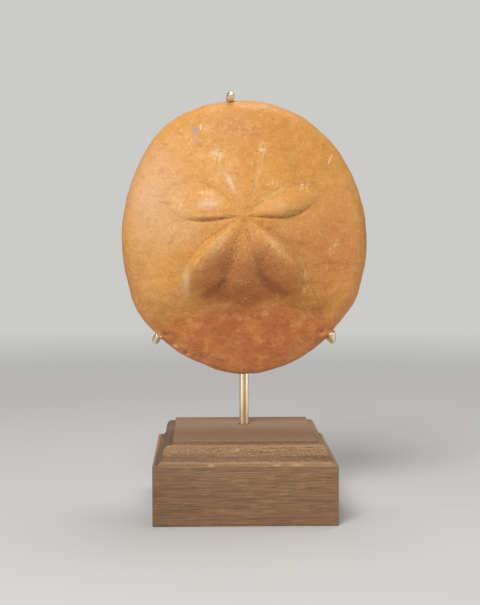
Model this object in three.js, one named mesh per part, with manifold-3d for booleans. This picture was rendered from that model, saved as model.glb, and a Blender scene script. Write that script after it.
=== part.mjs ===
// Fossil sea urchin on a display stand: a sea biscuit's stone test, held upright by three brass claws
// that are brazed to a brass post, on a square wooden base with a moulded top edge.
// Millimetres, +Z up. The origin is the middle of the base's underside, and the fossil's domed side faces -Y.
import * as THREE from "three";
import { mergeVertices } from "three/addons/utils/BufferGeometryUtils.js";
import Module from "manifold-3d";

// Wooden base: a square block with a cove, an ovolo and a fillet run round its top edge
const BASE_SIDE = 88;
const BLOCK_HEIGHT = 28.8;
const LEDGE_WIDTH = 1.2;
const COVE_WIDTH = 3.2;
const COVE_HEIGHT = 4.0;
const OVOLO_WIDTH = 3.2;
const OVOLO_HEIGHT = 4.7;
const SHELF_WIDTH = 1.8;
const FILLET_HEIGHT = 1.8;
const CURVE_STEPS = 6;
const BASE_HEIGHT = BLOCK_HEIGHT + COVE_HEIGHT + OVOLO_HEIGHT + FILLET_HEIGHT;

// Brass post, set in a blind hole behind the middle of the base
const POST_DIAMETER = 4.76;
const POST_X = 1;
const POST_Y = 13.7;
const POST_TOP = 126;
const POST_SIDES = 24;
const HOLE_DEPTH = 18;
const CLEARANCE = 0.32;

// Brass claws: a wire arm behind the fossil, a leg past its rim and a tip bent in over its edge
const WIRE_DIAMETER = 3.8;
const WIRE_SIDES = 14;
const ARM_BEND_RADIUS = 4.5;
const TIP_BEND_RADIUS = 2.9;
const BEND_STEPS = 6;
const LOWER_ARM_TOP = 108;
const CLAWS = [
  { name: "top_claw", bearing: 95.5, tipLength: 0.9, tipLift: 2.6, tipTurn: 0 },
  { name: "left_claw", bearing: 229, tipLength: 4.2, tipLift: 3.3, tipTurn: 15 },
  { name: "right_claw", bearing: 311, tipLength: 4.6, tipLift: 2.0, tipTurn: 30 },
];

// Fossil: outline seen from the front, as half axes and a few swells and flats along the rim
const FOSSIL_X = 0.6;
const FOSSIL_Z = 134.9;
const FOSSIL_BACK_Y = 11;
const HALF_WIDTH = 61.3;
const HALF_HEIGHT = 68.6;
const RIM_SWELLS = [
  { bearing: 125, spread: 20, swell: 2.4 },
  { bearing: 214, spread: 11, swell: 1.5 },
  { bearing: 252, spread: 10, swell: -0.8 },
  { bearing: 330, spread: 10, swell: 1.2 },
  { bearing: 350, spread: 25, swell: 0.8 },
];

// Fossil: section from the flat underside to the crown of the dome
const APEX_U = -0.9;
const APEX_V = 11.4;
const RIM_BACK = 6.2;
const RIM_FRONT = 5.0;
const RIM_ROUND = 0.1;
const BRIM_HEIGHT = 2.5;
const DOME_HEIGHT = 22;
const DOME_REACH = 82;
const DOME_POINT = 1.8;
const DOME_FALL = 1.7;
const REAR_HOLLOW = { bearing: 272, spread: 36, flatness: 4, cut: 38, point: 0.3, fall: 0.3 };
const MOUTH_DEPTH = 8;
const MOUTH_FALL = 2.6;
const FOOD_GROOVE_DEPTH = 0.9;
const FOOD_GROOVE_HALF_WIDTH = 2;
const FOOD_GROOVE_RISES = [0.04, 0.15];
const FOOD_GROOVE_FALLS = [0.6, 0.85];
const FOOD_GROOVE_SECTOR = 60;

// Fossil: five swollen petals about the apex, with a pore furrow along each side, and the ridge at the rear
// Bearings run anticlockwise from the right; fullness and furrows are the clockwise and anticlockwise side
const PETALS = [
  {
    bearing: 17.5, bend: -0.5, spread: 21, length: 40, taper: 3,
    swell: 2.6, crest: -0.45, full: 0.5, falls: 0.5,
    fullness: [0.9, 1.8], furrows: [0.6, 0.12], furrowEnd: 0.95,
  },
  {
    bearing: 94, bend: 0, spread: 19.5, length: 45, taper: 5,
    swell: 0.5, crest: 0, full: 0.7, falls: 0.5,
    fullness: [1.6, 1.6], furrows: [0.08, -0.3], furrowEnd: 0.75,
  },
  {
    bearing: 161.5, bend: 5, spread: 26, length: 40, taper: 4,
    swell: 2.6, crest: 0.5, full: 0.5, falls: 0.38,
    fullness: [1.8, 0.9], furrows: [0.1, 0.6], furrowEnd: 0.74,
  },
  {
    bearing: 236, bend: 1, spread: 23, length: 47.5, taper: 4.1,
    swell: 6.2, crest: -0.58, full: 0.6, falls: 0.7,
    fullness: [1.3, 1.5], furrows: [0.15, 0], furrowEnd: 0.8,
  },
  {
    bearing: 308, bend: -4, spread: 22, length: 48.5, taper: 3.3,
    swell: 6, crest: 0.55, full: 0.6, falls: 0.7,
    fullness: [1.5, 1.3], furrows: [0, 0.15], furrowEnd: 0.8,
  },
];
const LEAST_HALF_ANGLE = 0.5;
const FURROW_HALF_WIDTH = 1.0;
const FURROW_RUN_IN = [0.02, 0.3];
const FURROW_FADE = 0.25;
const REAR_RIDGE = {
  bearing: 272, length: 46, halfWidth: 13, height: 4.6,
  rises: [0.05, 0.6], falls: [0.7, 1.05],
};

// Fossil: rings from the apex over the rim to the mouth, and sectors across each petal and between petals
const SECTORS_ON_PETAL = 11;
const SECTORS_BETWEEN = 8;
const FRONT_RINGS = 28;
const BACK_RINGS = 10;
const LEAST_OPENING = 0.3;
const OPENING_RUN = [0.95, 1.5];
const HALVINGS = 40;

const RADIANS = Math.PI / 180;
const WOOD_LOOK = { name: "wood", color: 0x7d5f48, roughness: 0.6, metalness: 0 };
const BRASS_LOOK = { name: "brass", color: 0xc8ab78, roughness: 0.3, metalness: 1 };
const STONE_LOOK = { name: "fossil_stone", color: 0xd59a52, roughness: 0.6, metalness: 0 };

const wasm = await Module();
wasm.setup();

// A closed geometry as a solid for joining and cutting
function solidOf(geometry) {
  const bare = geometry.clone();
  bare.deleteAttribute("normal");
  bare.deleteAttribute("uv");
  const merged = mergeVertices(bare, 1e-4);
  return new wasm.Manifold(
    new wasm.Mesh({
      numProp: 3,
      vertProperties: new Float32Array(merged.attributes.position.array),
      triVerts: new Uint32Array(merged.index.array),
    }),
  );
}

// A solid back as a geometry with flat-shaded normals
function geometryOf(solid) {
  const mesh = solid.getMesh();
  const geometry = new THREE.BufferGeometry();
  geometry.setAttribute("position", new THREE.BufferAttribute(new Float32Array(mesh.vertProperties), 3));
  geometry.setIndex(new THREE.BufferAttribute(new Uint32Array(mesh.triVerts), 1));
  geometry.computeVertexNormals();
  return geometry;
}

function namedMesh(name, geometry, look) {
  const mesh = new THREE.Mesh(geometry, new THREE.MeshStandardMaterial(look));
  mesh.name = name;
  return mesh;
}

// An upright cylinder from one height to another
function uprightRod(radius, bottom, top, sides) {
  const rod = new THREE.CylinderGeometry(radius, radius, top - bottom, sides);
  rod.rotateX(Math.PI / 2);
  rod.translate(0, 0, (top + bottom) / 2);
  return rod;
}

// The base's section as [inset from the side, height], from the foot to the middle of the top
function mouldingProfile() {
  const profile = [[BASE_SIDE / 2, 0], [0, 0], [0, BLOCK_HEIGHT]];
  const coveTop = BLOCK_HEIGHT + COVE_HEIGHT;
  const ovoloTop = coveTop + OVOLO_HEIGHT;
  const ovoloInset = LEDGE_WIDTH + COVE_WIDTH + OVOLO_WIDTH;
  for (let i = 0; i <= CURVE_STEPS; i++) {
    const turn = (i / CURVE_STEPS) * (Math.PI / 2);
    profile.push([LEDGE_WIDTH + COVE_WIDTH * Math.sin(turn), coveTop - COVE_HEIGHT * Math.cos(turn)]);
  }
  for (let i = 1; i <= CURVE_STEPS; i++) {
    const turn = (i / CURVE_STEPS) * (Math.PI / 2);
    profile.push([ovoloInset - OVOLO_WIDTH * Math.cos(turn), coveTop + OVOLO_HEIGHT * Math.sin(turn)]);
  }
  const plateauInset = ovoloInset + SHELF_WIDTH;
  profile.push([plateauInset, ovoloTop], [plateauInset, BASE_HEIGHT], [BASE_SIDE / 2, BASE_HEIGHT]);
  return profile;
}

function makeBase() {
  const corners = mouldingProfile().map(
    ([inset, height]) => new THREE.Vector2((BASE_SIDE / 2 - inset) * Math.SQRT2, height),
  );
  const block = new THREE.LatheGeometry(corners, 4, Math.PI / 4);
  block.rotateX(Math.PI / 2);
  const holeRadius = POST_DIAMETER / 2 + CLEARANCE;
  const hole = uprightRod(holeRadius, BASE_HEIGHT - HOLE_DEPTH, BASE_HEIGHT + 1, POST_SIDES);
  hole.translate(POST_X, POST_Y, 0);
  return namedMesh("base", geometryOf(solidOf(block).subtract(solidOf(hole))), WOOD_LOOK);
}

function makePost() {
  const foot = BASE_HEIGHT - HOLE_DEPTH + CLEARANCE;
  const post = namedMesh("post", uprightRod(POST_DIAMETER / 2, foot, POST_TOP, POST_SIDES), BRASS_LOOK);
  post.position.set(POST_X, POST_Y, 0);
  return post;
}

// Angle from one bearing to another, in degrees from -180 to 180
function turnBetween(from, to) {
  return ((((to - from + 180) % 360) + 360) % 360) - 180;
}

function smoothStep(low, high, value) {
  const x = Math.min(1, Math.max(0, (value - low) / (high - low)));
  return x * x * (3 - 2 * x);
}

// Distance of the rim from the middle of the outline at a bearing in degrees
function outlineRadius(bearing) {
  const across = Math.cos(bearing * RADIANS) / HALF_WIDTH;
  const along = Math.sin(bearing * RADIANS) / HALF_HEIGHT;
  const swells = RIM_SWELLS.map(
    ({ bearing: middle, spread, swell }) => swell * Math.exp(-((turnBetween(middle, bearing) / spread) ** 2)),
  );
  return 1 / Math.hypot(across, along) + swells.reduce((sum, swell) => sum + swell, 0);
}

// Distance of the rim from the apex at a bearing, found by halving
function reachFromApex(bearing) {
  let inside = 0;
  let outside = HALF_HEIGHT + HALF_WIDTH;
  for (let i = 0; i < HALVINGS; i++) {
    const reach = (inside + outside) / 2;
    const u = APEX_U + reach * Math.cos(bearing * RADIANS);
    const v = APEX_V + reach * Math.sin(bearing * RADIANS);
    const isInside = Math.hypot(u, v) < outlineRadius(Math.atan2(v, u) / RADIANS);
    if (isInside) inside = reach;
    else outside = reach;
  }
  return inside;
}

// Share of a petal's spread left at a share of its length: a wedge that closes to a point
function petalClosing({ taper }, along) {
  return 1 - Math.min(1, along) ** taper;
}

// Bearing of a petal's middle line, which bends towards its tip
function petalAxis({ bearing, bend }, along) {
  return bearing + bend * Math.min(1, along) ** 2;
}

// Height that one petal and its furrows add at a distance and bearing from the apex
function petalRelief(petal, distance, bearing) {
  const along = distance / petal.length;
  const off = turnBetween(petalAxis(petal, along), bearing);
  const half = Math.max(LEAST_HALF_ANGLE, petal.spread * petalClosing(petal, along));
  const across = Math.min(1, Math.max(-1, off / half));
  const fromCrest = (across - petal.crest) / (across > petal.crest ? 1 - petal.crest : 1 + petal.crest);
  const fullness = petal.fullness[across < petal.crest ? 0 : 1];
  const rise = smoothStep(0, petal.full, along) * (1 - smoothStep(petal.falls, 1, along));
  const gap = distance * (Math.abs(off) - half) * RADIANS;
  const isNear = Math.abs(off) < 90;
  const furrow = isNear ? petal.furrows[off < 0 ? 0 : 1] * Math.exp(-((gap / FURROW_HALF_WIDTH) ** 2)) : 0;
  const fade = smoothStep(petal.furrowEnd - FURROW_FADE, petal.furrowEnd, along);
  const run = smoothStep(...FURROW_RUN_IN, along) * (1 - fade);
  return petal.swell * rise * Math.max(0, 1 - fromCrest * fromCrest) ** fullness - furrow * run;
}

// Height that the low ridge between the two rear petals adds
function ridgeRelief(distance, bearing) {
  const off = turnBetween(REAR_RIDGE.bearing, bearing);
  if (Math.abs(off) > 90) return 0;
  const along = distance / REAR_RIDGE.length;
  const aside = Math.min(1, Math.abs(distance * Math.sin(off * RADIANS)) / REAR_RIDGE.halfWidth);
  const rise = smoothStep(...REAR_RIDGE.rises, along) * (1 - smoothStep(...REAR_RIDGE.falls, along));
  return REAR_RIDGE.height * rise * (1 - aside * aside) ** 2;
}

// Height of the bare dome, which falls away sooner above the hollow at the rear
function domeHeight(distance, bearing) {
  const off = Math.abs(turnBetween(REAR_HOLLOW.bearing, bearing)) / REAR_HOLLOW.spread;
  const rear = Math.exp(-(off ** REAR_HOLLOW.flatness));
  const out = Math.min(1, distance / (DOME_REACH - REAR_HOLLOW.cut * rear));
  const point = DOME_POINT + REAR_HOLLOW.point * rear;
  return DOME_HEIGHT * (1 - out ** point) ** (DOME_FALL - REAR_HOLLOW.fall * rear);
}

// Share of the rim's rounding left at a share of the way out to the rim
function rimRounding(share) {
  const past = Math.max(0, (share - 1 + RIM_ROUND) / RIM_ROUND);
  return Math.sqrt(Math.max(0, 1 - past * past));
}

// Height of the domed side above the flat underside
function frontHeight(share, distance, bearing) {
  const brim = BRIM_HEIGHT * (1 - share * share);
  const dome = (RIM_FRONT + domeHeight(distance, bearing)) * rimRounding(share);
  const petals = PETALS.reduce((sum, petal) => sum + petalRelief(petal, distance, bearing), 0);
  return RIM_BACK + dome + brim + petals + ridgeRelief(distance, bearing);
}

// Height of the underside, hollowed towards the mouth, with a food groove under each petal
function backHeight(share, distance, bearing) {
  const hollow = MOUTH_DEPTH * (1 - share * share) ** MOUTH_FALL;
  const grooves = PETALS.map(({ bearing: axis }) => {
    const off = turnBetween(axis, bearing);
    if (Math.abs(off) > FOOD_GROOVE_SECTOR) return 0;
    const aside = distance * Math.sin(off * RADIANS);
    return FOOD_GROOVE_DEPTH * Math.exp(-((aside / FOOD_GROOVE_HALF_WIDTH) ** 2));
  });
  const run = smoothStep(...FOOD_GROOVE_RISES, share) * (1 - smoothStep(...FOOD_GROOVE_FALLS, share));
  return RIM_BACK * (1 - rimRounding(share)) + hollow + Math.max(...grooves) * run;
}

// Rings crowd towards the rim, where the section turns
function frontShare(ring) {
  const even = ring / FRONT_RINGS;
  return (even + Math.sin((even * Math.PI) / 2)) / 2;
}

function backShare(ring) {
  return Math.sin(((ring / BACK_RINGS) * Math.PI) / 2);
}

// Bearing of a sector line, which runs along the petals' furrows and opens out again towards the rim
function sectorBearing(sector, distance) {
  const perPetal = SECTORS_ON_PETAL + SECTORS_BETWEEN;
  const petal = Math.floor(sector / perPetal);
  const step = sector % perPetal;
  const edge = (which, side) => {
    const lobe = PETALS[which % PETALS.length];
    const along = distance / lobe.length;
    const opening = Math.max(LEAST_OPENING, petalClosing(lobe, along), smoothStep(...OPENING_RUN, along));
    const turns = 360 * Math.floor(which / PETALS.length);
    return petalAxis(lobe, along) + turns + side * lobe.spread * opening;
  };
  const onPetal = step / SECTORS_ON_PETAL;
  const between = (step - SECTORS_ON_PETAL) / SECTORS_BETWEEN;
  if (step <= SECTORS_ON_PETAL) return THREE.MathUtils.lerp(edge(petal, -1), edge(petal, 1), onPetal);
  return THREE.MathUtils.lerp(edge(petal, 1), edge(petal + 1, -1), between);
}

function makeFossil() {
  const rings = FRONT_RINGS + BACK_RINGS;
  const sectors = PETALS.length * (SECTORS_ON_PETAL + SECTORS_BETWEEN);
  const test = new THREE.SphereGeometry(1, sectors, rings);
  const position = test.getAttribute("position");
  for (let i = 0; i < position.count; i++) {
    const sector = (i % (sectors + 1)) % sectors;
    const ring = Math.floor(i / (sectors + 1));
    const isFront = ring <= FRONT_RINGS;
    const share = isFront ? frontShare(ring) : backShare(rings - ring);
    const roughBearing = sectorBearing(sector, share * HALF_HEIGHT);
    const bearing = sectorBearing(sector, share * reachFromApex(roughBearing));
    const distance = share * reachFromApex(bearing);
    const height = (isFront ? frontHeight : backHeight)(share, distance, bearing);
    const u = APEX_U + distance * Math.cos(bearing * RADIANS);
    const v = APEX_V + distance * Math.sin(bearing * RADIANS);
    position.setXYZ(i, u, -height, v);
  }
  test.computeVertexNormals();
  const fossil = namedMesh("fossil_urchin", test, STONE_LOOK);
  fossil.position.set(FOSSIL_X, FOSSIL_BACK_Y, FOSSIL_Z);
  return fossil;
}

// A wire's middle line through stations: straight runs take one step and bends several
class BentWire extends THREE.Curve {
  constructor(stations) {
    super();
    this.stations = stations;
  }

  getPoint(t) {
    const place = Math.min(1, Math.max(0, t)) * (this.stations.length - 1);
    const before = Math.min(Math.floor(place), this.stations.length - 2);
    return this.stations[before].clone().lerp(this.stations[before + 1], place - before);
  }

  getUtoTmapping(u) {
    return u;
  }
}

// Stations along straight runs between corners, with each inner corner rounded to its bend radius
function bentStations(corners, bendRadii) {
  const stations = [corners[0]];
  for (let i = 1; i < corners.length - 1; i++) {
    const back = corners[i - 1].clone().sub(corners[i]).normalize();
    const on = corners[i + 1].clone().sub(corners[i]).normalize();
    const halfTurn = back.angleTo(on) / 2;
    const run = bendRadii[i - 1] / Math.tan(halfTurn);
    const toMiddle = back.clone().add(on).normalize();
    const middle = corners[i].clone().addScaledVector(toMiddle, bendRadii[i - 1] / Math.sin(halfTurn));
    const start = corners[i].clone().addScaledVector(back, run).sub(middle);
    const axis = start.clone().cross(corners[i].clone().addScaledVector(on, run).sub(middle)).normalize();
    for (let step = 0; step <= BEND_STEPS; step++) {
      const turn = ((Math.PI - 2 * halfTurn) * step) / BEND_STEPS;
      stations.push(middle.clone().add(start.clone().applyAxisAngle(axis, turn)));
    }
  }
  stations.push(corners.at(-1));
  return stations;
}

// A claw's corners: its root at the post, behind the rim, in front of the rim, and the cut end of its tip
function clawCorners({ bearing, tipLength, tipLift, tipTurn }) {
  const isTop = bearing < 180;
  const reach = outlineRadius(bearing) + CLEARANCE + WIRE_DIAMETER / 2;
  const legX = FOSSIL_X + reach * Math.cos(bearing * RADIANS);
  const legZ = FOSSIL_Z + reach * Math.sin(bearing * RADIANS);
  const frontY = FOSSIL_BACK_Y - RIM_BACK - RIM_FRONT - WIRE_DIAMETER / 2 - CLEARANCE;
  const inward = (bearing + 180 - tipTurn * Math.sign(legX)) * RADIANS;
  const root = new THREE.Vector3(POST_X, POST_Y, isTop ? POST_TOP - WIRE_DIAMETER : LOWER_ARM_TOP);
  const tip = new THREE.Vector3(
    legX + tipLength * Math.cos(inward),
    frontY - tipLift,
    legZ + tipLength * Math.sin(inward),
  );
  return [root, new THREE.Vector3(legX, POST_Y, legZ), new THREE.Vector3(legX, frontY, legZ), tip];
}

function makeClaw(claw) {
  const stations = bentStations(clawCorners(claw), [ARM_BEND_RADIUS, TIP_BEND_RADIUS]);
  const round = new THREE.Shape().absarc(0, 0, WIRE_DIAMETER / 2, 0, 2 * Math.PI);
  const wire = new THREE.ExtrudeGeometry(round, {
    curveSegments: WIRE_SIDES / 2,
    steps: stations.length - 1,
    extrudePath: new BentWire(stations),
  });
  // The root is coped to the post, and the top claw's root stands on the post's end
  const socket = uprightRod(POST_DIAMETER / 2 + CLEARANCE, 0, POST_TOP + CLEARANCE, POST_SIDES);
  socket.translate(POST_X, POST_Y, 0);
  return namedMesh(claw.name, geometryOf(solidOf(wire).subtract(solidOf(socket))), BRASS_LOOK);
}

const fossilOnStand = new THREE.Group();
fossilOnStand.name = "fossil_sea_urchin_on_stand";
fossilOnStand.add(makeBase(), makePost(), ...CLAWS.map(makeClaw), makeFossil());

export default fossilOnStand;
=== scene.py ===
import math

import bmesh
import bpy
import numpy as np
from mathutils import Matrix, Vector


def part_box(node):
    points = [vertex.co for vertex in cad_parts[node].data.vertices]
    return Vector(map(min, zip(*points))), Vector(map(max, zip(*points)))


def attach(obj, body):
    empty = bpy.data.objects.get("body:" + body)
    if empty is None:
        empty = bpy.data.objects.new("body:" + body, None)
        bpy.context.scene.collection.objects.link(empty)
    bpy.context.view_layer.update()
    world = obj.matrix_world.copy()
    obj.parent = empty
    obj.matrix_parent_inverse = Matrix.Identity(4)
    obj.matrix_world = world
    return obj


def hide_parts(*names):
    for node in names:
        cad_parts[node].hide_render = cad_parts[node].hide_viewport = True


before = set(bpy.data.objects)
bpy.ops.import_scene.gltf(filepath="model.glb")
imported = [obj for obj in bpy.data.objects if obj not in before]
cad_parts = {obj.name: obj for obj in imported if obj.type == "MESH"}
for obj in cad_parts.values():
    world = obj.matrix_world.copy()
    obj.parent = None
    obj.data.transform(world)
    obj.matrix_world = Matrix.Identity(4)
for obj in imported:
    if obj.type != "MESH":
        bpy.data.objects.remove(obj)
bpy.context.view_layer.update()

# Wooden base
# A square block of brown hardwood with its grain running from side to side. A cove, an ovolo and a small
# fillet were run round its top edge with a cutter, and the hole for the post was drilled in its top.
MM = 0.001
base_low, base_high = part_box("base")
base_half = (base_high.x - base_low.x) / 2
base_top = base_high.z
block_top = 28.8 * MM
ledge_width = 1.2 * MM
cove_width = 3.2 * MM
cove_height = 4.0 * MM
ovolo_width = 3.2 * MM
ovolo_height = 4.7 * MM
shelf_width = 1.8 * MM
moulding_steps = 9
base_edge_round = 0.45 * MM
sharp_edge = math.radians(50)
smooth_edge = math.radians(30)
post_low, post_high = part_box("post")
post_radius = (post_high.x - post_low.x) / 2
post_axis = (post_low + post_high) / 2
hole_radius = post_radius + 0.45 * MM
hole_sides = 48


def start_piece(name):
    """Gives the newly added primitive its name and puts its place, turn and size into its mesh."""
    piece = bpy.context.object
    piece.name = piece.data.name = name
    bpy.ops.object.transform_apply(location=True, rotation=True, scale=True)
    return piece


def pick_faces(piece, wanted):
    """Selects, in edit mode, only the faces that the test wants."""
    bpy.ops.mesh.select_mode(type="FACE")
    bpy.ops.mesh.select_all(action="DESELECT")
    shape = bmesh.from_edit_mesh(piece.data)
    for face in shape.faces:
        face.select_set(wanted(face))
    bmesh.update_edit_mesh(piece.data)


def apply_modifier(piece, kind, **settings):
    """Adds one modifier to the piece and applies it."""
    bpy.context.view_layer.objects.active = piece
    modifier = piece.modifiers.new(kind.lower(), kind)
    for name, value in settings.items():
        setattr(modifier, name, value)
    bpy.ops.object.modifier_apply(modifier=modifier.name)


bpy.ops.object.select_all(action="DESELECT")
bpy.ops.mesh.primitive_cube_add(
    size=1, location=(0, 0, block_top / 2), scale=(2 * base_half, 2 * base_half, block_top)
)
wooden_base = start_piece("wooden_base")
bpy.ops.object.mode_set(mode="EDIT")
pick_faces(wooden_base, lambda face: face.normal.z > 0.9)

moulding = []
for step in range(moulding_steps + 1):
    turn = math.pi / 2 * step / moulding_steps
    inset = ledge_width + cove_width * math.sin(turn)
    moulding.append((inset, block_top + cove_height * (1 - math.cos(turn))))
cove_inset, cove_top = moulding[-1]
for step in range(1, moulding_steps + 1):
    turn = math.pi / 2 * step / moulding_steps
    inset = cove_inset + ovolo_width * (1 - math.cos(turn))
    moulding.append((inset, cove_top + ovolo_height * math.sin(turn)))
ovolo_inset, ovolo_top = moulding[-1]
moulding.append((ovolo_inset + shelf_width, ovolo_top))
moulding.append((ovolo_inset + shelf_width, base_top))
inset_now, level_now = 0.0, block_top
for inset, level in moulding:
    shrink = (base_half - inset) / (base_half - inset_now)
    bpy.ops.mesh.extrude_region_move(TRANSFORM_OT_translate={"value": (0, 0, level - level_now)})
    bpy.ops.transform.resize(value=(shrink, shrink, 1))
    inset_now, level_now = inset, level
bpy.ops.object.mode_set(mode="OBJECT")
apply_modifier(
    wooden_base, "BEVEL", width=base_edge_round, segments=3, limit_method="ANGLE", angle_limit=sharp_edge
)

bpy.ops.object.select_all(action="DESELECT")
bpy.ops.mesh.primitive_cylinder_add(
    vertices=hole_sides,
    radius=hole_radius,
    depth=2 * (base_top - post_low.z),
    location=(post_axis.x, post_axis.y, base_top),
)
drill = start_piece("drill")
apply_modifier(wooden_base, "BOOLEAN", operation="DIFFERENCE", object=drill, solver="EXACT")
bpy.data.objects.remove(drill)
bpy.ops.object.select_all(action="DESELECT")
wooden_base.select_set(True)
bpy.context.view_layer.objects.active = wooden_base
bpy.ops.object.shade_smooth_by_angle(angle=smooth_edge)


class Finish:
    """A node material with short calls for the nodes that the finishes here are made of."""

    def __init__(self, name):
        self.material = bpy.data.materials.new(name)
        self.material.use_nodes = True
        self.nodes = self.material.node_tree.nodes
        self.links = self.material.node_tree.links
        self.shader = self.nodes["Principled BSDF"]
        self.place = self.nodes.new("ShaderNodeTexCoord").outputs["Object"]

    def feed(self, socket, value):
        if isinstance(value, bpy.types.NodeSocket):
            self.links.new(value, socket)
        elif value is not None:
            socket.default_value = value

    def give(self, name, value):
        self.feed(self.shader.inputs[name], value)

    def stretched(self, scale, shift=(0, 0, 0)):
        node = self.nodes.new("ShaderNodeMapping")
        node.inputs["Location"].default_value = shift
        node.inputs["Scale"].default_value = scale
        self.links.new(self.place, node.inputs["Vector"])
        return node.outputs["Vector"]

    def cloud(self, place, scale, detail=3.0, roughness=0.55, distortion=0.0):
        node = self.nodes.new("ShaderNodeTexNoise")
        node.inputs["Scale"].default_value = scale
        node.inputs["Detail"].default_value = detail
        node.inputs["Roughness"].default_value = roughness
        node.inputs["Distortion"].default_value = distortion
        self.links.new(place, node.inputs["Vector"])
        return node.outputs["Fac"]

    def between(self, value, low, high, to_low=0.0, to_high=1.0):
        node = self.nodes.new("ShaderNodeMapRange")
        node.interpolation_type = "SMOOTHSTEP"
        self.feed(node.inputs["Value"], value)
        for name, number in zip(("From Min", "From Max", "To Min", "To Max"), (low, high, to_low, to_high)):
            node.inputs[name].default_value = number
        return node.outputs["Result"]

    def math(self, operation, first, second=None):
        node = self.nodes.new("ShaderNodeMath")
        node.operation = operation
        self.feed(node.inputs[0], first)
        self.feed(node.inputs[1], second)
        return node.outputs[0]

    def blend(self, amount, first, second, how="MIX"):
        node = self.nodes.new("ShaderNodeMix")
        node.data_type = "RGBA"
        node.blend_type = how
        self.feed(node.inputs["Factor"], amount)
        self.feed(node.inputs[6], first)
        self.feed(node.inputs[7], second)
        return node.outputs[2]

    def spot(self, centre, halves, turn=0.0, softness=0.6, ragged=None, raggedness=0.0):
        """One inside an oval patch and nothing outside it, with an edge that a noise can break up."""
        oval = self.nodes.new("ShaderNodeMapping")
        oval.vector_type = "TEXTURE"
        oval.inputs["Location"].default_value = centre
        oval.inputs["Rotation"].default_value = (0, math.radians(turn), 0)
        oval.inputs["Scale"].default_value = halves
        self.links.new(self.place, oval.inputs["Vector"])
        length = self.nodes.new("ShaderNodeVectorMath")
        length.operation = "LENGTH"
        self.links.new(oval.outputs["Vector"], length.inputs[0])
        away = length.outputs["Value"]
        if ragged is not None:
            broken = self.math("MULTIPLY", self.math("SUBTRACT", ragged, 0.5), raggedness)
            away = self.math("ADD", away, broken)
        return self.between(away, 1.0 - softness, 1.0, 1.0, 0.0)

    def bump(self, height, depth, before=None):
        node = self.nodes.new("ShaderNodeBump")
        node.inputs["Strength"].default_value = 1.0
        node.inputs["Distance"].default_value = depth
        self.feed(node.inputs["Height"], height)
        self.feed(node.inputs["Normal"], before)
        return node.outputs["Normal"]

    def on(self, *pieces):
        for piece in pieces:
            piece.data.materials.clear()
            piece.data.materials.append(self.material)


right_end_share = 0.35
fillet_top = base_top - 0.1 * MM
end_grain = wooden_base.data.attributes.new("end_grain", "FLOAT", "FACE")
for face in wooden_base.data.polygons:
    is_moulded = block_top < face.center.z < fillet_top
    is_side_moulding = is_moulded and abs(face.center.x) > abs(face.center.y)
    end_share = right_end_share if is_side_moulding and face.center.x > 0 else 1.0
    end_grain.data[face.index].value = end_share * (is_side_moulding or abs(face.normal.x) > 0.5)

dark_ring = (0.148, 0.073, 0.032, 1)
pale_ring = (0.188, 0.096, 0.043, 1)
pale_streak = (0.262, 0.144, 0.068, 1)
pale_fleck = (0.42, 0.26, 0.135, 1)
dark_pore = (0.080, 0.040, 0.020, 1)
painted_light_top_dark = (0.255, 0.148, 0.083, 1)
painted_light_top_pale = (0.320, 0.190, 0.108, 1)
pale_speckle = (0.42, 0.235, 0.112, 1)
end_dark = (0.098, 0.057, 0.036, 1)
end_pale = (0.135, 0.081, 0.051, 1)
end_pore = (0.045, 0.024, 0.014, 1)
bare_wood = (0.62, 0.43, 0.19, 1)
painted_shade_brown = (0.105, 0.054, 0.026, 1)
# painted shade and highlights on the moulding: the two dark lines are painted shade on the fillet's upright
# face and in the cove, the two pale lines are painted highlights along the top of the ovolo and the edge of
# the ledge; for each, where it starts and ends, how strong it is, and its tint
moulding_shade_and_highlight_lines = (
    (ovolo_top + 0.1 * MM, base_top - 0.3 * MM, 0.60, (0.105, 0.056, 0.028, 1)),
    (block_top + 1.5 * MM, cove_top - 0.2 * MM, 0.50, (0.120, 0.062, 0.030, 1)),
    (ovolo_top - 0.55 * MM, ovolo_top + 0.03 * MM, 0.45, (0.50, 0.32, 0.17, 1)),
    (block_top - 0.25 * MM, block_top + 1.2 * MM, 0.50, (0.40, 0.245, 0.130, 1)),
)
line_blur = 0.15 * MM
ring_shape = (("Scale", 95), ("Distortion", 5.0), ("Detail", 3.0), ("Detail Scale", 0.9))
ring_shift = (0, -9 * MM, 34 * MM)
# middle and half size, in millimetres, of each spot worn through the oil
worn_spots = (
    ((24.2, -42.8, 29.4), (6.0, 2.0, 1.2)),
    ((-16.2, -42.8, 29.4), (2.8, 2.0, 1.2)),
    ((-3.9, -38.0, 35.4), (1.8, 1.6, 1.0)),
    ((15.0, -42.8, 29.2), (3.2, 1.6, 0.9)),
)

walnut = Finish("oiled_walnut")
rings = walnut.cloud(walnut.stretched((7, 60, 170)), 1.0, 4.0, 0.6, 0.5)
streaks = walnut.cloud(walnut.stretched((50, 1300, 1500)), 1.0, 4.0, 0.7)
flecks = walnut.cloud(walnut.stretched((130, 1700, 1900)), 1.0, 2.0, 0.5)
flecks = walnut.between(flecks, 0.58, 0.70)
pores = walnut.cloud(walnut.stretched((110, 2000, 2100)), 1.0, 2.0, 0.6)
pores = walnut.between(pores, 0.33, 0.43, 1.0, 0.0)
tool_marks = walnut.cloud(walnut.stretched((900, 1900, 1900)), 1.0, 3.0, 0.7)
base_axes = walnut.nodes.new("ShaderNodeSeparateXYZ")
walnut.links.new(walnut.place, base_axes.inputs[0])
up = base_axes.outputs["Z"]
on_block = walnut.between(up, block_top - 0.2 * MM, block_top, 1.0, 0.0)
on_plateau = walnut.between(up, base_top - 0.3 * MM, fillet_top)
on_moulding = walnut.math("SUBTRACT", walnut.math("SUBTRACT", 1.0, on_block), on_plateau)
wood_colour = walnut.blend(walnut.between(rings, 0.3, 0.7), dark_ring, pale_ring)
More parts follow.
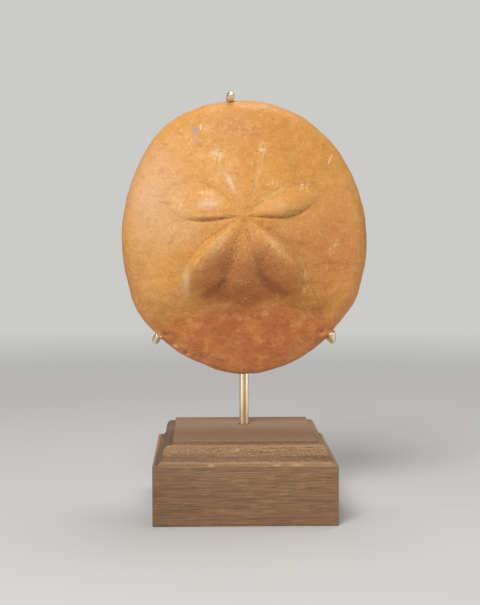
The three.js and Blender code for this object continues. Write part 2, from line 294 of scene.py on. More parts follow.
wood_colour = walnut.blend(walnut.between(streaks, 0.38, 0.64), wood_colour, pale_streak)
wood_colour = walnut.blend(walnut.math("MULTIPLY", flecks, 0.45), wood_colour, pale_fleck)
wood_colour = walnut.blend(walnut.math("MULTIPLY", pores, 0.60), wood_colour, dark_pore)
# painted light: the top face takes a paler wood colour than the block below it, standing for the top
# catching more of the lamp than the front
painted_light_top = walnut.blend(walnut.between(streaks, 0.25, 0.75), painted_light_top_dark, painted_light_top_pale)
wood_colour = walnut.blend(walnut.math("MULTIPLY", on_plateau, 0.85), wood_colour, painted_light_top)
speckled = walnut.math("MULTIPLY", on_moulding, walnut.between(tool_marks, 0.44, 0.62))
wood_colour = walnut.blend(walnut.math("MULTIPLY", speckled, 0.75), wood_colour, pale_speckle)
line_break = walnut.between(tool_marks, 0.30, 0.60, 0.5, 1.0)
# paints the shade and highlight lines along the moulding
for line_low, line_high, amount, tint in moulding_shade_and_highlight_lines:
    above = walnut.between(up, line_low - line_blur, line_low + line_blur)
    below = walnut.between(up, line_high - line_blur, line_high + line_blur, 1.0, 0.0)
    line = walnut.math("MULTIPLY", walnut.math("MULTIPLY", above, below), line_break)
    wood_colour = walnut.blend(walnut.math("MULTIPLY", line, amount), wood_colour, tint)
growth_rings = walnut.nodes.new("ShaderNodeTexWave")
growth_rings.wave_type = "RINGS"
growth_rings.rings_direction = "X"
for name, value in ring_shape:
    growth_rings.inputs[name].default_value = value
walnut.links.new(walnut.stretched((1, 1, 1), ring_shift), growth_rings.inputs["Vector"])
end_tint = walnut.between(growth_rings.outputs["Fac"], 0.1, 0.9)
end_colour = walnut.blend(end_tint, end_dark, end_pale)
end_pores = walnut.between(walnut.cloud(walnut.place, 1300, 2.0, 0.6), 0.34, 0.44, 1.0, 0.0)
end_colour = walnut.blend(walnut.math("MULTIPLY", end_pores, 0.45), end_colour, end_pore)
on_end = walnut.nodes.new("ShaderNodeAttribute")
on_end.attribute_name = "end_grain"
end_amount = walnut.math("MULTIPLY", on_end.outputs["Fac"], 0.75)
wood_colour = walnut.blend(end_amount, wood_colour, end_colour)
for place, halves in worn_spots:
    bare = walnut.spot([n * MM for n in place], [n * MM for n in halves], 0, 0.7, tool_marks, 1.4)
    wood_colour = walnut.blend(walnut.math("MULTIPLY", bare, 0.85), wood_colour, bare_wood)
# painted shade: the block darker towards its front left corner
painted_shade_front_left = walnut.spot((-36 * MM, -44 * MM, 18 * MM), (34 * MM, 20 * MM, 30 * MM), 0, 1.0)
wood_colour = walnut.blend(walnut.math("MULTIPLY", painted_shade_front_left, 0.40), wood_colour, painted_shade_brown)
walnut.give("Base Color", wood_colour)
walnut.give("Roughness", walnut.between(streaks, 0.2, 0.8, 0.75, 0.55))
wood_relief = walnut.bump(walnut.math("SUBTRACT", streaks, pores), 0.06 * MM)
cutter_marks = walnut.math("MULTIPLY", on_moulding, tool_marks)
walnut.give("Normal", walnut.bump(cutter_marks, 0.25 * MM, wood_relief))
walnut.on(wooden_base)
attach(wooden_base, "root")
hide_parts("base")

# Brass post
# A straight length of brass rod, sawn off and eased at both ends, and glued into the hole in the base.
# It stands just behind the fossil and carries the claws.
post_end_round = 0.4 * MM
post_sides = 64
bright_brass = (0.92, 0.78, 0.56, 1)
dull_brass = (0.80, 0.62, 0.40, 1)
bpy.ops.object.select_all(action="DESELECT")
bpy.ops.mesh.primitive_cylinder_add(
    vertices=post_sides, radius=post_radius, depth=post_high.z - post_low.z, location=post_axis
)
brass_post = start_piece("brass_post")
apply_modifier(
    brass_post, "BEVEL", width=post_end_round, segments=3, limit_method="ANGLE", angle_limit=sharp_edge
)
bpy.ops.object.shade_smooth_by_angle(angle=smooth_edge)

drawn_brass = Finish("drawn_brass")
drawing_lines = drawn_brass.cloud(drawn_brass.stretched((3000, 3000, 30)), 1.0, 3.0, 0.6)
tarnish = drawn_brass.cloud(drawn_brass.place, 90, 4.0, 0.6)
worn = drawn_brass.between(tarnish, 0.35, 0.75)
drawn_brass.give("Base Color", drawn_brass.blend(worn, bright_brass, dull_brass))
drawn_brass.give("Metallic", 1.0)
drawn_brass.give("Roughness", drawn_brass.between(tarnish, 0.3, 0.8, 0.36, 0.44))
drawn_brass.give("Normal", drawn_brass.bump(drawing_lines, 0.006 * MM))
drawn_brass.on(brass_post)
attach(brass_post, "root")
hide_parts("post")

# Brass claws
# Three lengths of brass wire, each brazed to the post behind the fossil, run out to its rim, bent forward
# past the edge and bent in again, so that the sawn end holds the front of the rim.
wire_radius = 1.9 * MM
wire_sides = 28
arm_bend = 4.5 * MM
tip_bend = 2.9 * MM
bend_steps = 10
wire_end_round = 0.3 * MM
wire_weld = 0.002 * MM
wire_smooth_edge = math.radians(35)
claw_front = -2.42 * MM
lower_arm_root = 108 * MM
claw_tips = {
    "top_claw": dict(reach=1.4, lift=2.6, turn=0),
    "left_claw": dict(reach=4.2, lift=3.3, turn=15),
    "right_claw": dict(reach=4.6, lift=2.0, turn=-30),
}


def bent_wire(name, corners, bends):
    """A round wire through the corners: straight runs are extruded and bends spun about their centres."""
    heading = (corners[1] - corners[0]).normalized()
    bpy.ops.object.select_all(action="DESELECT")
    bpy.ops.mesh.primitive_circle_add(
        vertices=wire_sides,
        radius=wire_radius,
        fill_type="NGON",
        location=corners[0],
        rotation=heading.to_track_quat("Z", "Y").to_euler(),
    )
    wire = start_piece(name)
    bpy.ops.object.mode_set(mode="EDIT")
    bpy.ops.mesh.select_all(action="SELECT")
    here = corners[0]
    for corner, onward, bend in zip(corners[1:], corners[2:], bends):
        outward = (onward - corner).normalized()
        turn = heading.angle(outward)
        run = bend * math.tan(turn / 2)
        start = corner - heading * run
        axis = heading.cross(outward).normalized()
        bpy.ops.mesh.extrude_region_move(TRANSFORM_OT_translate={"value": start - here})
        bend_centre = start + axis.cross(heading) * bend
        bpy.ops.mesh.spin(steps=bend_steps, angle=-turn, center=bend_centre, axis=axis)
        here, heading = corner + outward * run, outward
    bpy.ops.mesh.extrude_region_move(TRANSFORM_OT_translate={"value": corners[-1] - here})
    bpy.ops.mesh.bevel(offset=wire_end_round, segments=3, affect="EDGES")
    bpy.ops.mesh.select_all(action="SELECT")
    bpy.ops.mesh.remove_doubles(threshold=wire_weld)
    bpy.ops.mesh.normals_make_consistent(inside=False)
    bpy.ops.object.mode_set(mode="OBJECT")
    bpy.ops.object.shade_smooth_by_angle(angle=wire_smooth_edge)
    return wire


fossil_low, fossil_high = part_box("fossil_urchin")
fossil_middle = (fossil_low + fossil_high) / 2
for node, claw_tip in claw_tips.items():
    low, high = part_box(node)
    is_top = node == "top_claw"
    leg_x = high.x - wire_radius if node == "right_claw" else low.x + wire_radius
    leg_z = high.z - wire_radius if is_top else low.z + wire_radius
    root_z = post_high.z - 2 * wire_radius if is_top else lower_arm_root
    root = Vector((post_axis.x, post_axis.y, root_z))
    behind_rim = Vector((leg_x, post_axis.y, leg_z))
    before_rim = Vector((leg_x, claw_front, leg_z))
    inward = math.atan2(fossil_middle.z - leg_z, fossil_middle.x - leg_x)
    inward += math.radians(claw_tip["turn"])
    tip_x = claw_tip["reach"] * math.cos(inward)
    tip_z = claw_tip["reach"] * math.sin(inward)
    tip = before_rim + Vector((tip_x, -claw_tip["lift"], tip_z)) * MM
    claw = bent_wire("brass_" + node, [root, behind_rim, before_rim, tip], [arm_bend, tip_bend])
    drawn_brass.on(claw)
    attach(claw, "root")
    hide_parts(node)

# Fossil sea urchin
# The test of a sea biscuit turned to ochre limestone: a flat underside with the mouth, a rounded rim and
# a domed side with five petals edged by pores. It grew as one piece, and the claws hold it by its rim.
fossil_x = 0.6
fossil_z = 134.9
fossil_back = 11.0
half_width = 61.3
half_height = 68.6
# bearing, spread and height of each swell in the outline
rim_swells = ((125, 20, 2.4), (214, 11, 1.5), (252, 10, -0.8), (330, 10, 1.2), (350, 25, 0.8))
apex_u = -0.9
apex_v = 11.4
rim_back = 6.2
rim_front = 5.0
rim_round = 0.1
brim_height = 2.5
dome_height = 22.0
dome_reach = 82.0
dome_point = 1.8
dome_fall = 1.7
rear_bearing = 272
rear_spread = 36
rear_cut = 38.0
rear_point = 0.3
rear_fall = 0.3
petals = (
    dict(bearing=17.5, bend=-0.5, spread=21, length=40, taper=3, swell=2.6, crest=-0.45,
         full=0.50, falls=0.50, fullness=(0.9, 1.8), furrows=(0.6, 0.12), furrow_end=0.95),
    dict(bearing=94, bend=0, spread=19.5, length=45, taper=5, swell=0.5, crest=0,
         full=0.70, falls=0.50, fullness=(1.6, 1.6), furrows=(0.08, -0.30), furrow_end=0.75),
    dict(bearing=161.5, bend=5, spread=26, length=40, taper=4, swell=2.6, crest=0.5,
         full=0.50, falls=0.38, fullness=(1.8, 0.9), furrows=(0.1, 0.6), furrow_end=0.74),
    dict(bearing=236, bend=1, spread=23, length=47.5, taper=4.1, swell=6.2, crest=-0.58,
         full=0.60, falls=0.70, fullness=(1.3, 1.5), furrows=(0.15, 0.0), furrow_end=0.8),
    dict(bearing=308, bend=-4, spread=22, length=48.5, taper=3.3, swell=6.0, crest=0.55,
         full=0.60, falls=0.70, fullness=(1.5, 1.3), furrows=(0.0, 0.15), furrow_end=0.8),
)
furrow_width = 1.0
ridge_bearing = 272.0
ridge_length = 46.0
ridge_width = 13.0
ridge_height = 4.6
mouth_depth = 8.0
mouth_fall = 2.6
food_groove_depth = 0.9
food_groove_width = 2.0
# place across and up, size and depth of each pit
pits = (
    (-15.2, -0.7, 0.8, 0.5), (7.6, -25.3, 0.9, 0.6), (0.2, -26.7, 0.8, 0.4), (-2.2, -31.4, 1.0, 0.4),
    (-39.4, -48.1, 1.6, 1.3), (39.2, -46.8, 1.6, 1.2), (-36.4, -53.0, 1.2, 0.7), (-32.0, -56.0, 1.0, 0.6),
    (-29.2, -57.2, 1.3, 1.0), (-24.5, -59.6, 1.2, 0.6), (-20.7, -60.4, 2.2, 0.8),
)
# size and height of the lumps
lump_sizes = ((11.0, 0.9), (3.2, 0.30), (1.1, 0.10))
sectors = 120
front_rings = 38
back_rings = 10
halvings = 40
far_from_petals = 50.0


def turned(start, end):
    """Angle from one bearing to another, from -180 to 180 degrees."""
    return (end - start + 180) % 360 - 180


def eased(low, high, value):
    """A smooth step from nought at the low value to one at the high value."""
    x = np.clip((value - low) / (high - low), 0, 1)
    return x * x * (3 - 2 * x)


def rim_radius(bearing):
    """Distance of the rim from the middle of the outline, in millimetres, at a bearing in degrees."""
    across = np.cos(np.radians(bearing)) / half_width
    along = np.sin(np.radians(bearing)) / half_height
    radius = 1 / np.hypot(across, along)
    for middle, spread, swell in rim_swells:
        radius = radius + swell * np.exp(-(turned(middle, bearing) / spread) ** 2)
    return radius


def rim_from_apex(bearing):
    """Distance of the rim from the apex, found by halving."""
    inside = np.zeros_like(bearing)
    outside = np.full_like(bearing, half_width + half_height)
    for _ in range(halvings):
        reach = (inside + outside) / 2
        u = apex_u + reach * np.cos(np.radians(bearing))
        v = apex_v + reach * np.sin(np.radians(bearing))
        is_inside = np.hypot(u, v) < rim_radius(np.degrees(np.arctan2(v, u)))
        inside = np.where(is_inside, reach, inside)
        outside = np.where(is_inside, outside, reach)
    return inside


bpy.ops.object.select_all(action="DESELECT")
bpy.ops.mesh.primitive_uv_sphere_add(segments=sectors, ring_count=front_rings + back_rings, radius=1)
fossil = start_piece("fossil_sea_urchin")
apply_modifier(fossil, "SUBSURF", subdivision_type="SIMPLE", levels=2)
ball = np.empty(3 * len(fossil.data.vertices))
fossil.data.vertices.foreach_get("co", ball)
ball = ball.reshape(-1, 3)
polar = np.arctan2(np.hypot(ball[:, 0], ball[:, 1]), ball[:, 2])
ring = polar / math.pi * (front_rings + back_rings)
bearing = np.degrees(np.arctan2(ball[:, 1], ball[:, 0]))
is_front = ring < front_rings + 0.01
way_front = np.clip(ring / front_rings, 0, 1)
way_back = np.clip((front_rings + back_rings - ring) / back_rings, 0, 1)
share_front = (way_front + np.sin(way_front * math.pi / 2)) / 2
share_back = np.sin(way_back * math.pi / 2)
share = np.where(is_front, share_front, share_back)
distance = share * rim_from_apex(bearing)
u = apex_u + distance * np.cos(np.radians(bearing))
v = apex_v + distance * np.sin(np.radians(bearing))
rounding = np.sqrt(np.clip(1 - np.clip((share - 1 + rim_round) / rim_round, 0, 1) ** 2, 0, 1))

rear = np.exp(-(turned(rear_bearing, bearing) / rear_spread) ** 4)
way_out = np.clip(distance / (dome_reach - rear_cut * rear), 0, 1)
dome = dome_height * (1 - way_out ** (dome_point + rear_point * rear)) ** (dome_fall - rear_fall * rear)
front_height = rim_back + (rim_front + dome) * rounding + brim_height * (1 - share ** 2)
edge_gap = np.full(len(ring), far_from_petals)
furrows = np.zeros(len(ring))
groove = np.zeros(len(ring))
for petal in petals:
    along = distance / petal["length"]
    off = turned(petal["bearing"] + petal["bend"] * np.minimum(1, along) ** 2, bearing)
    half = np.maximum(0.5, petal["spread"] * (1 - np.minimum(1, along) ** petal["taper"]))
    across = np.clip(off / half, -1, 1)
    crest = petal["crest"]
    from_crest = np.where(across > crest, (across - crest) / (1 - crest), (across - crest) / (1 + crest))
    rise = eased(0, petal["full"], along) * (1 - eased(petal["falls"], 1, along))
    fullness = np.where(across < crest, petal["fullness"][0], petal["fullness"][1])
    front_height += petal["swell"] * rise * (1 - from_crest ** 2) ** fullness
    petal_gap = distance * np.radians(np.abs(off) - half)
    furrow = np.where(off < 0, petal["furrows"][0], petal["furrows"][1])
    furrow = furrow * np.exp(-(petal_gap / furrow_width) ** 2)
    furrow_end = petal["furrow_end"]
    furrow_run = eased(0.02, 0.3, along) * (1 - eased(furrow_end - 0.25, furrow_end, along))
    furrows += furrow * furrow_run * (np.abs(off) < 90)
    near = (along < 1.04) & (np.abs(off) < 60)
    edge_gap = np.where(near & (np.abs(petal_gap) < np.abs(edge_gap)), petal_gap, edge_gap)
    groove_off = turned(petal["bearing"], bearing)
    groove_aside = distance * np.sin(np.radians(groove_off))
    in_groove = np.exp(-(groove_aside / food_groove_width) ** 2) * (np.abs(groove_off) < 60)
    groove = np.maximum(groove, food_groove_depth * in_groove)
ridge_off = turned(ridge_bearing, bearing)
ridge_along = distance / ridge_length
ridge_aside = distance * np.sin(np.radians(ridge_off))
ridge_side = np.where(np.abs(ridge_off) < 90, np.clip(np.abs(ridge_aside) / ridge_width, 0, 1), 1)
ridge_run = eased(0.05, 0.6, ridge_along) * (1 - eased(0.7, 1.05, ridge_along))
front_height += ridge_height * ridge_run * (1 - ridge_side ** 2) ** 2
for pit_u, pit_v, pit_size, pit_depth in pits:
    front_height -= pit_depth * np.exp(-((u - pit_u) ** 2 + (v - pit_v) ** 2) / pit_size ** 2)

front_height -= furrows
# red stain and painted shade: a mask over the hollow between the rear petals
between_lobes = 1 - eased(22, 54, np.abs(turned(rear_bearing, bearing)))
stain_and_hollow_shade = between_lobes * eased(2, 28, distance) * (1 - eased(38, 50, distance)) * is_front
groove *= eased(0.04, 0.15, share) * (1 - eased(0.6, 0.85, share))
domed_side = np.where(is_front, 1.0, eased(0.86, 0.97, share))
# painted light: a pale band along the lower rim, where its rounding turns from the lamp
painted_light_low_rim = is_front * eased(0.90, 0.99, share) * eased(5, 45, -v)
back_height = rim_back * (1 - rounding) + mouth_depth * (1 - share ** 2) ** mouth_fall + groove
thickness = np.where(is_front, front_height, back_height)
shaped = np.column_stack((fossil_x + u, fossil_back - thickness, fossil_z + v)) * MM
fossil.data.vertices.foreach_set("co", shaped.ravel())
fossil.data.update()
for name, values in (
    ("edge_gap", np.where(is_front, edge_gap, far_from_petals)),
    ("from_apex", distance),
    ("furrow_depth", np.where(is_front, furrows, 0.5 * groove)),
    ("stain_and_hollow_shade", stain_and_hollow_shade),
    ("domed_side", domed_side),
    ("painted_light_low_rim", painted_light_low_rim),
):
    layer = fossil.data.attributes.new(name, "FLOAT", "POINT")
    layer.data.foreach_set("value", values)
for lump_size, lump_height in lump_sizes:
    lumps = bpy.data.textures.new("lumps", "CLOUDS")
    lumps.noise_scale = lump_size * MM
    lumps.noise_depth = 2
    apply_modifier(
        fossil, "DISPLACE", texture=lumps, strength=lump_height * MM, mid_level=0.5, texture_coords="LOCAL"
    )
bpy.ops.object.select_all(action="DESELECT")
fossil.select_set(True)
bpy.ops.object.shade_smooth()

dark_ochre = (0.585, 0.262, 0.055, 1)
pale_ochre = (0.625, 0.302, 0.075, 1)
washed_stone = (0.52, 0.212, 0.055, 1)
pale_mottle = (0.70, 0.41, 0.16, 1)
dark_mottle = (0.40, 0.15, 0.042, 1)
pale_bed = (0.66, 0.35, 0.125, 1)
dark_bed = (0.36, 0.125, 0.04, 1)
pale_tubercle = (0.74, 0.46, 0.21, 1)
tubercle_dirt = (0.30, 0.105, 0.035, 1)
fresh_flake = (0.76, 0.49, 0.24, 1)
dark_grain = (0.28, 0.10, 0.035, 1)
pale_hair = (0.80, 0.53, 0.27, 1)
dark_hair = (0.33, 0.13, 0.05, 1)
pale_scuff = (0.82, 0.53, 0.25, 1)
crease_shade_brown = (0.25, 0.09, 0.03, 1)
pore_dirt = (0.30, 0.12, 0.04, 1)
pale_band = (0.74, 0.42, 0.20, 1)
pale_rung = (0.84, 0.60, 0.36, 1)
row_dirt = (0.36, 0.15, 0.05, 1)
hole_dirt = (0.20, 0.07, 0.03, 1)
patch_y = -12
patch_depth = 40
rung_step = 1.05
row_step = 1.15
tubercle_scale = 1000
pin_hole_scale = 430
# place across and up, and half size, of each scuffed patch
scuff_places = (
    (8, 43, 6, 6), (-13, 40, 6, 5), (-32, 17, 5, 8), (-20, 22, 9, 3), (29, 25, 7, 5), (14, 27, 8, 4),
    (29, -16, 4, 8), (31, -25, 4, 5), (44, -4, 5, 8), (-26, 49, 5, 6), (1.6, -30.4, 4.5, 3),
    (29, -25, 4, 5),
)

ochre = Finish("ochre_limestone")


def surface_field(name):
    """Reads one of the values that the mesh carries at each point."""
    node = ochre.nodes.new("ShaderNodeAttribute")
    node.attribute_name = name
    return node.outputs["Fac"]


on_domed_side = surface_field("domed_side")


def on_dome(place_u, place_v, half_u, half_v, turn=0, softness=1.0, raggedness=0.5, ragged=None):
    """One in a patch of the domed side, placed in millimetres from the middle of the outline."""
    centre = ((fossil_x + place_u) * MM, patch_y * MM, (fossil_z + place_v) * MM)
    halves = (half_u * MM, patch_depth * MM, half_v * MM)
    edge_noise = mottle if ragged is None else ragged
    patch = ochre.spot(centre, halves, turn, softness, edge_noise, raggedness)
    return ochre.math("MULTIPLY", patch, on_domed_side)


def tinted(colour, marks):
    """Lays marks over the colour, each a place, a tint and how much of it shows."""
    for place, tint, amount in marks:
        colour = ochre.blend(ochre.math("MULTIPLY", place, amount), colour, (*tint, 1))
    return colour


patches = ochre.cloud(ochre.place, 42, 4.0, 0.6)
mottle = ochre.cloud(ochre.place, 190, 5.0, 0.65)
chips = ochre.cloud(ochre.place, 520, 4.0, 0.7)
grain = ochre.cloud(ochre.place, 1300, 3.0, 0.6)
bedding = ochre.cloud(ochre.stretched((90, 90, 330)), 1.0, 5.0, 0.65, 0.4)
stain_and_shade_mask = ochre.math("MULTIPLY", surface_field("stain_and_hollow_shade"), ochre.between(mottle, 0.25, 0.5, 0.75, 1.0))
low_front = on_dome(0, -50, 74, 31, 0, 0.6)
stone_colour = ochre.blend(ochre.between(patches, 0.3, 0.7), dark_ochre, pale_ochre)
stone_colour = tinted(stone_colour, (
    # broad tones of the top, the left side, the lower left and the right side. The darker top is partly
    # painted shade, the paler left side is bleached stone with a painted sheen over it, and the pale patch
    # on the lower left is painted light over the shade of a fold
    # painted shade in part: the top darker
    (on_dome(4, 54, 66, 38), (0.490, 0.212, 0.038), 0.85),
    # bleached stone and painted sheen: the left side paler and pinker
    (on_dome(-46, 22, 26, 40), (0.635, 0.372, 0.200), 0.75),
    (on_dome(-30, 6, 20, 14), (0.66, 0.36, 0.17), 0.5),
    # painted light: a paler patch on the lower left, over the shade of a fold
    (on_dome(-29, -28, 15, 12), (0.70, 0.36, 0.14), 0.6),
    (on_dome(-58, -24, 18, 28), (0.46, 0.195, 0.058), 0.8),
    (on_dome(44, -6, 26, 40), (0.575, 0.208, 0.050), 0.85),
    # red stain between the rear petals, partly painted shade of the hollow there, and the darker front
    # below them, partly painted shade; the paler patches on the lower left are painted light over the shade
    # of a fold
    (stain_and_shade_mask, (0.50, 0.165, 0.064), 0.75),
    # painted shade in part: the lower front darker and redder, standing for it turning away from the lamp
    (low_front, (0.335, 0.092, 0.026), 0.9),
    # painted light: paler patches on the lower left, over the shade of a fold at the dome's foot
    (on_dome(-25, -29, 13, 8, -20), (0.74, 0.35, 0.105), 0.45),
    (on_dome(-28, -36, 18, 6.5, -10), (0.84, 0.39, 0.125), 0.85),
    (on_dome(-14, -33, 10, 4), (0.60, 0.245, 0.085), 0.5),
    (on_dome(26, -41, 21, 13), (0.40, 0.112, 0.032), 0.6),
    # red beside the right rear petal, and the paler lower rim, which is painted light over the rim's
    # rounding
    (on_dome(27, -2, 11, 11), (0.52, 0.165, 0.045), 0.45),
    (surface_field("painted_light_low_rim"), (0.60, 0.235, 0.098), 0.6),
    # red sides of the two rear petals, painted shade in the hollows below them and painted highlights along
    # their crests
    (on_dome(-19, -15, 10, 10), (0.68, 0.250, 0.085), 0.40),
    (on_dome(19, -15, 10, 10), (0.66, 0.220, 0.072), 0.45),
    # painted shade in the hollows at the lower ends of the rear petals
    (on_dome(-14.4, -24.4, 11, 4.4, -36, 0.9, 0.8), (0.26, 0.075, 0.033), 0.65),
    (on_dome(15.2, -24.4, 11, 4.4, 39, 0.9, 0.8), (0.26, 0.075, 0.033), 0.65),
    # painted highlights along the crests of the rear petals
    (on_dome(-13, -2, 13, 3.6, -48), (0.74, 0.45, 0.22), 0.7),
    (on_dome(13, -2, 13, 3.6, 46), (0.72, 0.42, 0.20), 0.7),
    # yellow on both sides of the top petal, and the petal itself
    (on_dome(-15, 40, 15, 9), (0.60, 0.315, 0.062), 0.6),
    (on_dome(11, 34, 12, 13), (0.60, 0.30, 0.060), 0.5),
    (on_dome(0, 37, 8, 18), (0.57, 0.235, 0.043), 0.6),
    # pale worn swells of the two side petals with painted highlights on them, and painted light along their
    # lower edges that thins the shade under the swells
    # painted highlights on the swells of the side petals, over paler worn stone
    (on_dome(-18, 17, 9, 4.5), (0.70, 0.46, 0.33), 0.8),
    (on_dome(17, 15.5, 8, 3.5, -12), (0.70, 0.42, 0.21), 0.5),
    # painted light along the lower edges of the side petals, broken up by the chips noise
    (on_dome(16, 12.2, 14, 1.7, -2, 1.0, 1.2, chips), (0.90, 0.50, 0.18), 0.60),
    (on_dome(29, 14.4, 5, 1.5, -36, 1.0, 1.2, chips), (0.80, 0.38, 0.12), 0.45),
    (on_dome(-17, 11.6, 14, 1.7, 2, 1.0, 1.2, chips), (0.90, 0.52, 0.21), 0.60),
))
strokes = ochre.cloud(ochre.stretched((430, 430, 1250)), 1.0, 3.0, 0.65, 0.6)
stroke_shade = ochre.between(strokes, 0.3, 0.7, 0.15, 0.90)
stroke_amount = ochre.between(low_front, 0.0, 1.0, 0.07, 0.24)
stone_colour = ochre.blend(stroke_amount, stone_colour, stroke_shade, "OVERLAY")
washed = ochre.between(ochre.cloud(ochre.place, 95, 4.0, 0.6, 0.5), 0.48, 0.64)
washed = ochre.math("MULTIPLY", low_front, washed)
stone_colour = ochre.blend(ochre.math("MULTIPLY", washed, 0.45), stone_colour, washed_stone)
stone_colour = ochre.blend(ochre.between(mottle, 0.52, 0.75, 0.0, 0.30), stone_colour, pale_mottle)
stone_colour = ochre.blend(ochre.between(mottle, 0.30, 0.46, 0.30, 0.0), stone_colour, dark_mottle)
off_low_front = ochre.math("SUBTRACT", 1.0, ochre.math("MULTIPLY", low_front, 0.65))
pale_beds = ochre.math("MULTIPLY", ochre.between(bedding, 0.54, 0.70, 0.0, 0.34), off_low_front)
stone_colour = ochre.blend(pale_beds, stone_colour, pale_bed)
stone_colour = ochre.blend(ochre.between(bedding, 0.30, 0.44, 0.40, 0.0), stone_colour, dark_bed)
tubercles = ochre.nodes.new("ShaderNodeTexVoronoi")
tubercles.inputs["Scale"].default_value = tubercle_scale
ochre.links.new(ochre.place, tubercles.inputs["Vector"])
tubercle_height = ochre.between(tubercles.outputs["Distance"], 0.1, 0.45, 1.0, 0.0)
flaked = ochre.math("MULTIPLY", ochre.between(chips, 0.64, 0.76), off_low_front)
stippled = ochre.between(on_dome(0, -10, 40, 36, 0, 0.8), 0.0, 1.0, 0.08, 0.30)
stone_colour = ochre.blend(ochre.math("MULTIPLY", tubercle_height, stippled), stone_colour, pale_tubercle)
tubercle_gaps = ochre.between(tubercles.outputs["Distance"], 0.5, 0.75)
stone_colour = ochre.blend(ochre.math("MULTIPLY", tubercle_gaps, stippled), stone_colour, tubercle_dirt)
stone_colour = ochre.blend(ochre.math("MULTIPLY", flaked, 0.40), stone_colour, fresh_flake)
stone_colour = ochre.blend(ochre.between(grain, 0.30, 0.41, 0.45, 0.0), stone_colour, dark_grain)


def hair_lines(scale, width, where):
    """Thin wandering lines where a noise crosses its middle value, kept only in some places."""
    wander = ochre.cloud(ochre.stretched((scale, scale, 0.7 * scale)), 1.0, 2.0, 0.6, 0.8)
    line = ochre.between(ochre.math("ABSOLUTE", ochre.math("SUBTRACT", wander, 0.5)), 0.0, width, 1.0, 0.0)
    return ochre.math("MULTIPLY", line, where)


pale_places = ochre.math("MULTIPLY", ochre.between(chips, 0.50, 0.60), off_low_front)
pale_lines = hair_lines(260, 0.020, pale_places)
dark_lines = hair_lines(210, 0.014, ochre.between(chips, 0.40, 0.50, 1.0, 0.0))
stone_colour = ochre.blend(ochre.math("MULTIPLY", pale_lines, 0.55), stone_colour, pale_hair)
stone_colour = ochre.blend(ochre.math("MULTIPLY", dark_lines, 0.40), stone_colour, dark_hair)
for place in scuff_places:
    scuffs = hair_lines(330, 0.055, on_dome(*place))
    stone_colour = ochre.blend(ochre.math("MULTIPLY", scuffs, 0.70), stone_colour, pale_scuff)
broken = ochre.between(chips, 0.40, 0.58)
# painted shade: a broken dark line in the creases along the petals' edges and in the food grooves
# underneath
crease_shade = ochre.between(surface_field("furrow_depth"), 0.15, 0.6)
crease_shade = ochre.math("MULTIPLY", crease_shade, broken)
stone_colour = ochre.blend(ochre.math("MULTIPLY", crease_shade, 0.45), stone_colour, crease_shade_brown)
stone_colour = tinted(stone_colour, (
    # a painted highlight along the left edge of the top petal, then chips, grey spots and streaks round the
    # top petal
    (on_dome(-7.2, 26.6, 9.5, 1.9, 64, 1.0, 0.8, chips), (0.74, 0.48, 0.34), 0.9),
    (on_dome(-24.3, 52.8, 2.7, 2.5, 0, 0.8, 1.8, chips), (0.34, 0.235, 0.200), 0.95),
    (on_dome(-23.9, 48.0, 2.0, 1.3, 0, 0.8, 1.8, chips), (0.45, 0.29, 0.20), 0.7),
    (on_dome(-21.6, 54.6, 0.6, 2.2, 0, 0.7, 1.2, chips), (0.80, 0.52, 0.28), 0.8),
    (on_dome(-14.6, 41.4, 3.4, 1.8, 20, 1.0, 1.6, chips), (0.62, 0.43, 0.29), 0.8),
    (on_dome(-12.4, 39.0, 0.9, 2.8, 15, 0.9, 1.2, chips), (0.74, 0.50, 0.30), 0.6),
    (on_dome(8.0, 43.4, 2.6, 1.8, 30, 1.0, 1.6, chips), (0.70, 0.48, 0.27), 0.7),
    (on_dome(3.2, 36.4, 1.4, 1.2, 0, 0.8, 1.5, chips), (0.55, 0.36, 0.20), 0.7),
    (on_dome(5.8, 30.0, 12.0, 1.6, -72, 1.0, 1.0, chips), (0.68, 0.40, 0.12), 0.5),
    (on_dome(3.4, 24.4, 7.0, 0.75, -75, 0.9, 1.2, chips), (0.30, 0.20, 0.10), 0.75),
    (on_dome(-13.0, 31.0, 1.6, 10.0, 14, 1.0, 1.0, chips), (0.68, 0.41, 0.14), 0.5),
    # a pale speck, scratches and the upper edge of the petal on the right
    (on_dome(27.8, 26.4, 0.9, 0.7, 0, 0.6, 0.8, chips), (0.85, 0.66, 0.42), 0.9),
    (on_dome(41.7, 38.7, 4.4, 0.5, -64, 0.8, 1.2, chips), (0.80, 0.58, 0.34), 0.7),
    (on_dome(35.8, -29.4, 7.2, 0.40, 63, 0.7, 1.2, chips), (0.30, 0.12, 0.045), 0.7),
    (on_dome(13.4, 22.2, 11.0, 1.1, -27, 1.0, 1.6, chips), (0.78, 0.53, 0.20), 0.60),
    (on_dome(14.4, 20.9, 9.0, 0.7, -27, 1.0, 2.2, chips), (0.34, 0.15, 0.045), 0.35),
    # dark patches beside the claws, painted shadow of the claws in the nooks where they sit, and nicks and
    # a chip in the lower rim
    (on_dome(-39.4, -48.1, 1.7, 1.4, 30, 0.8, 0.8, chips), (0.22, 0.060, 0.030), 0.7),
    (on_dome(39.2, -46.8, 1.7, 1.4, -30, 0.8, 0.8, chips), (0.22, 0.060, 0.030), 0.7),
    (on_dome(-29.2, -57.4, 1.4, 0.7, -40, 0.7, 0.9, chips), (0.20, 0.090, 0.085), 0.8),
    (on_dome(-20.7, -60.4, 2.6, 1.2, 14, 0.8, 1.2, chips), (0.52, 0.200, 0.150), 0.7),
    (on_dome(-34.3, -54.0, 2.2, 1.1, 30, 0.6, 1.6, chips), (0.72, 0.40, 0.20), 0.6),
))
gap = surface_field("edge_gap")
edge = ochre.math("ABSOLUTE", gap)
ladder = ochre.math("SINE", ochre.math("MULTIPLY", surface_field("from_apex"), 2 * math.pi / rung_step))
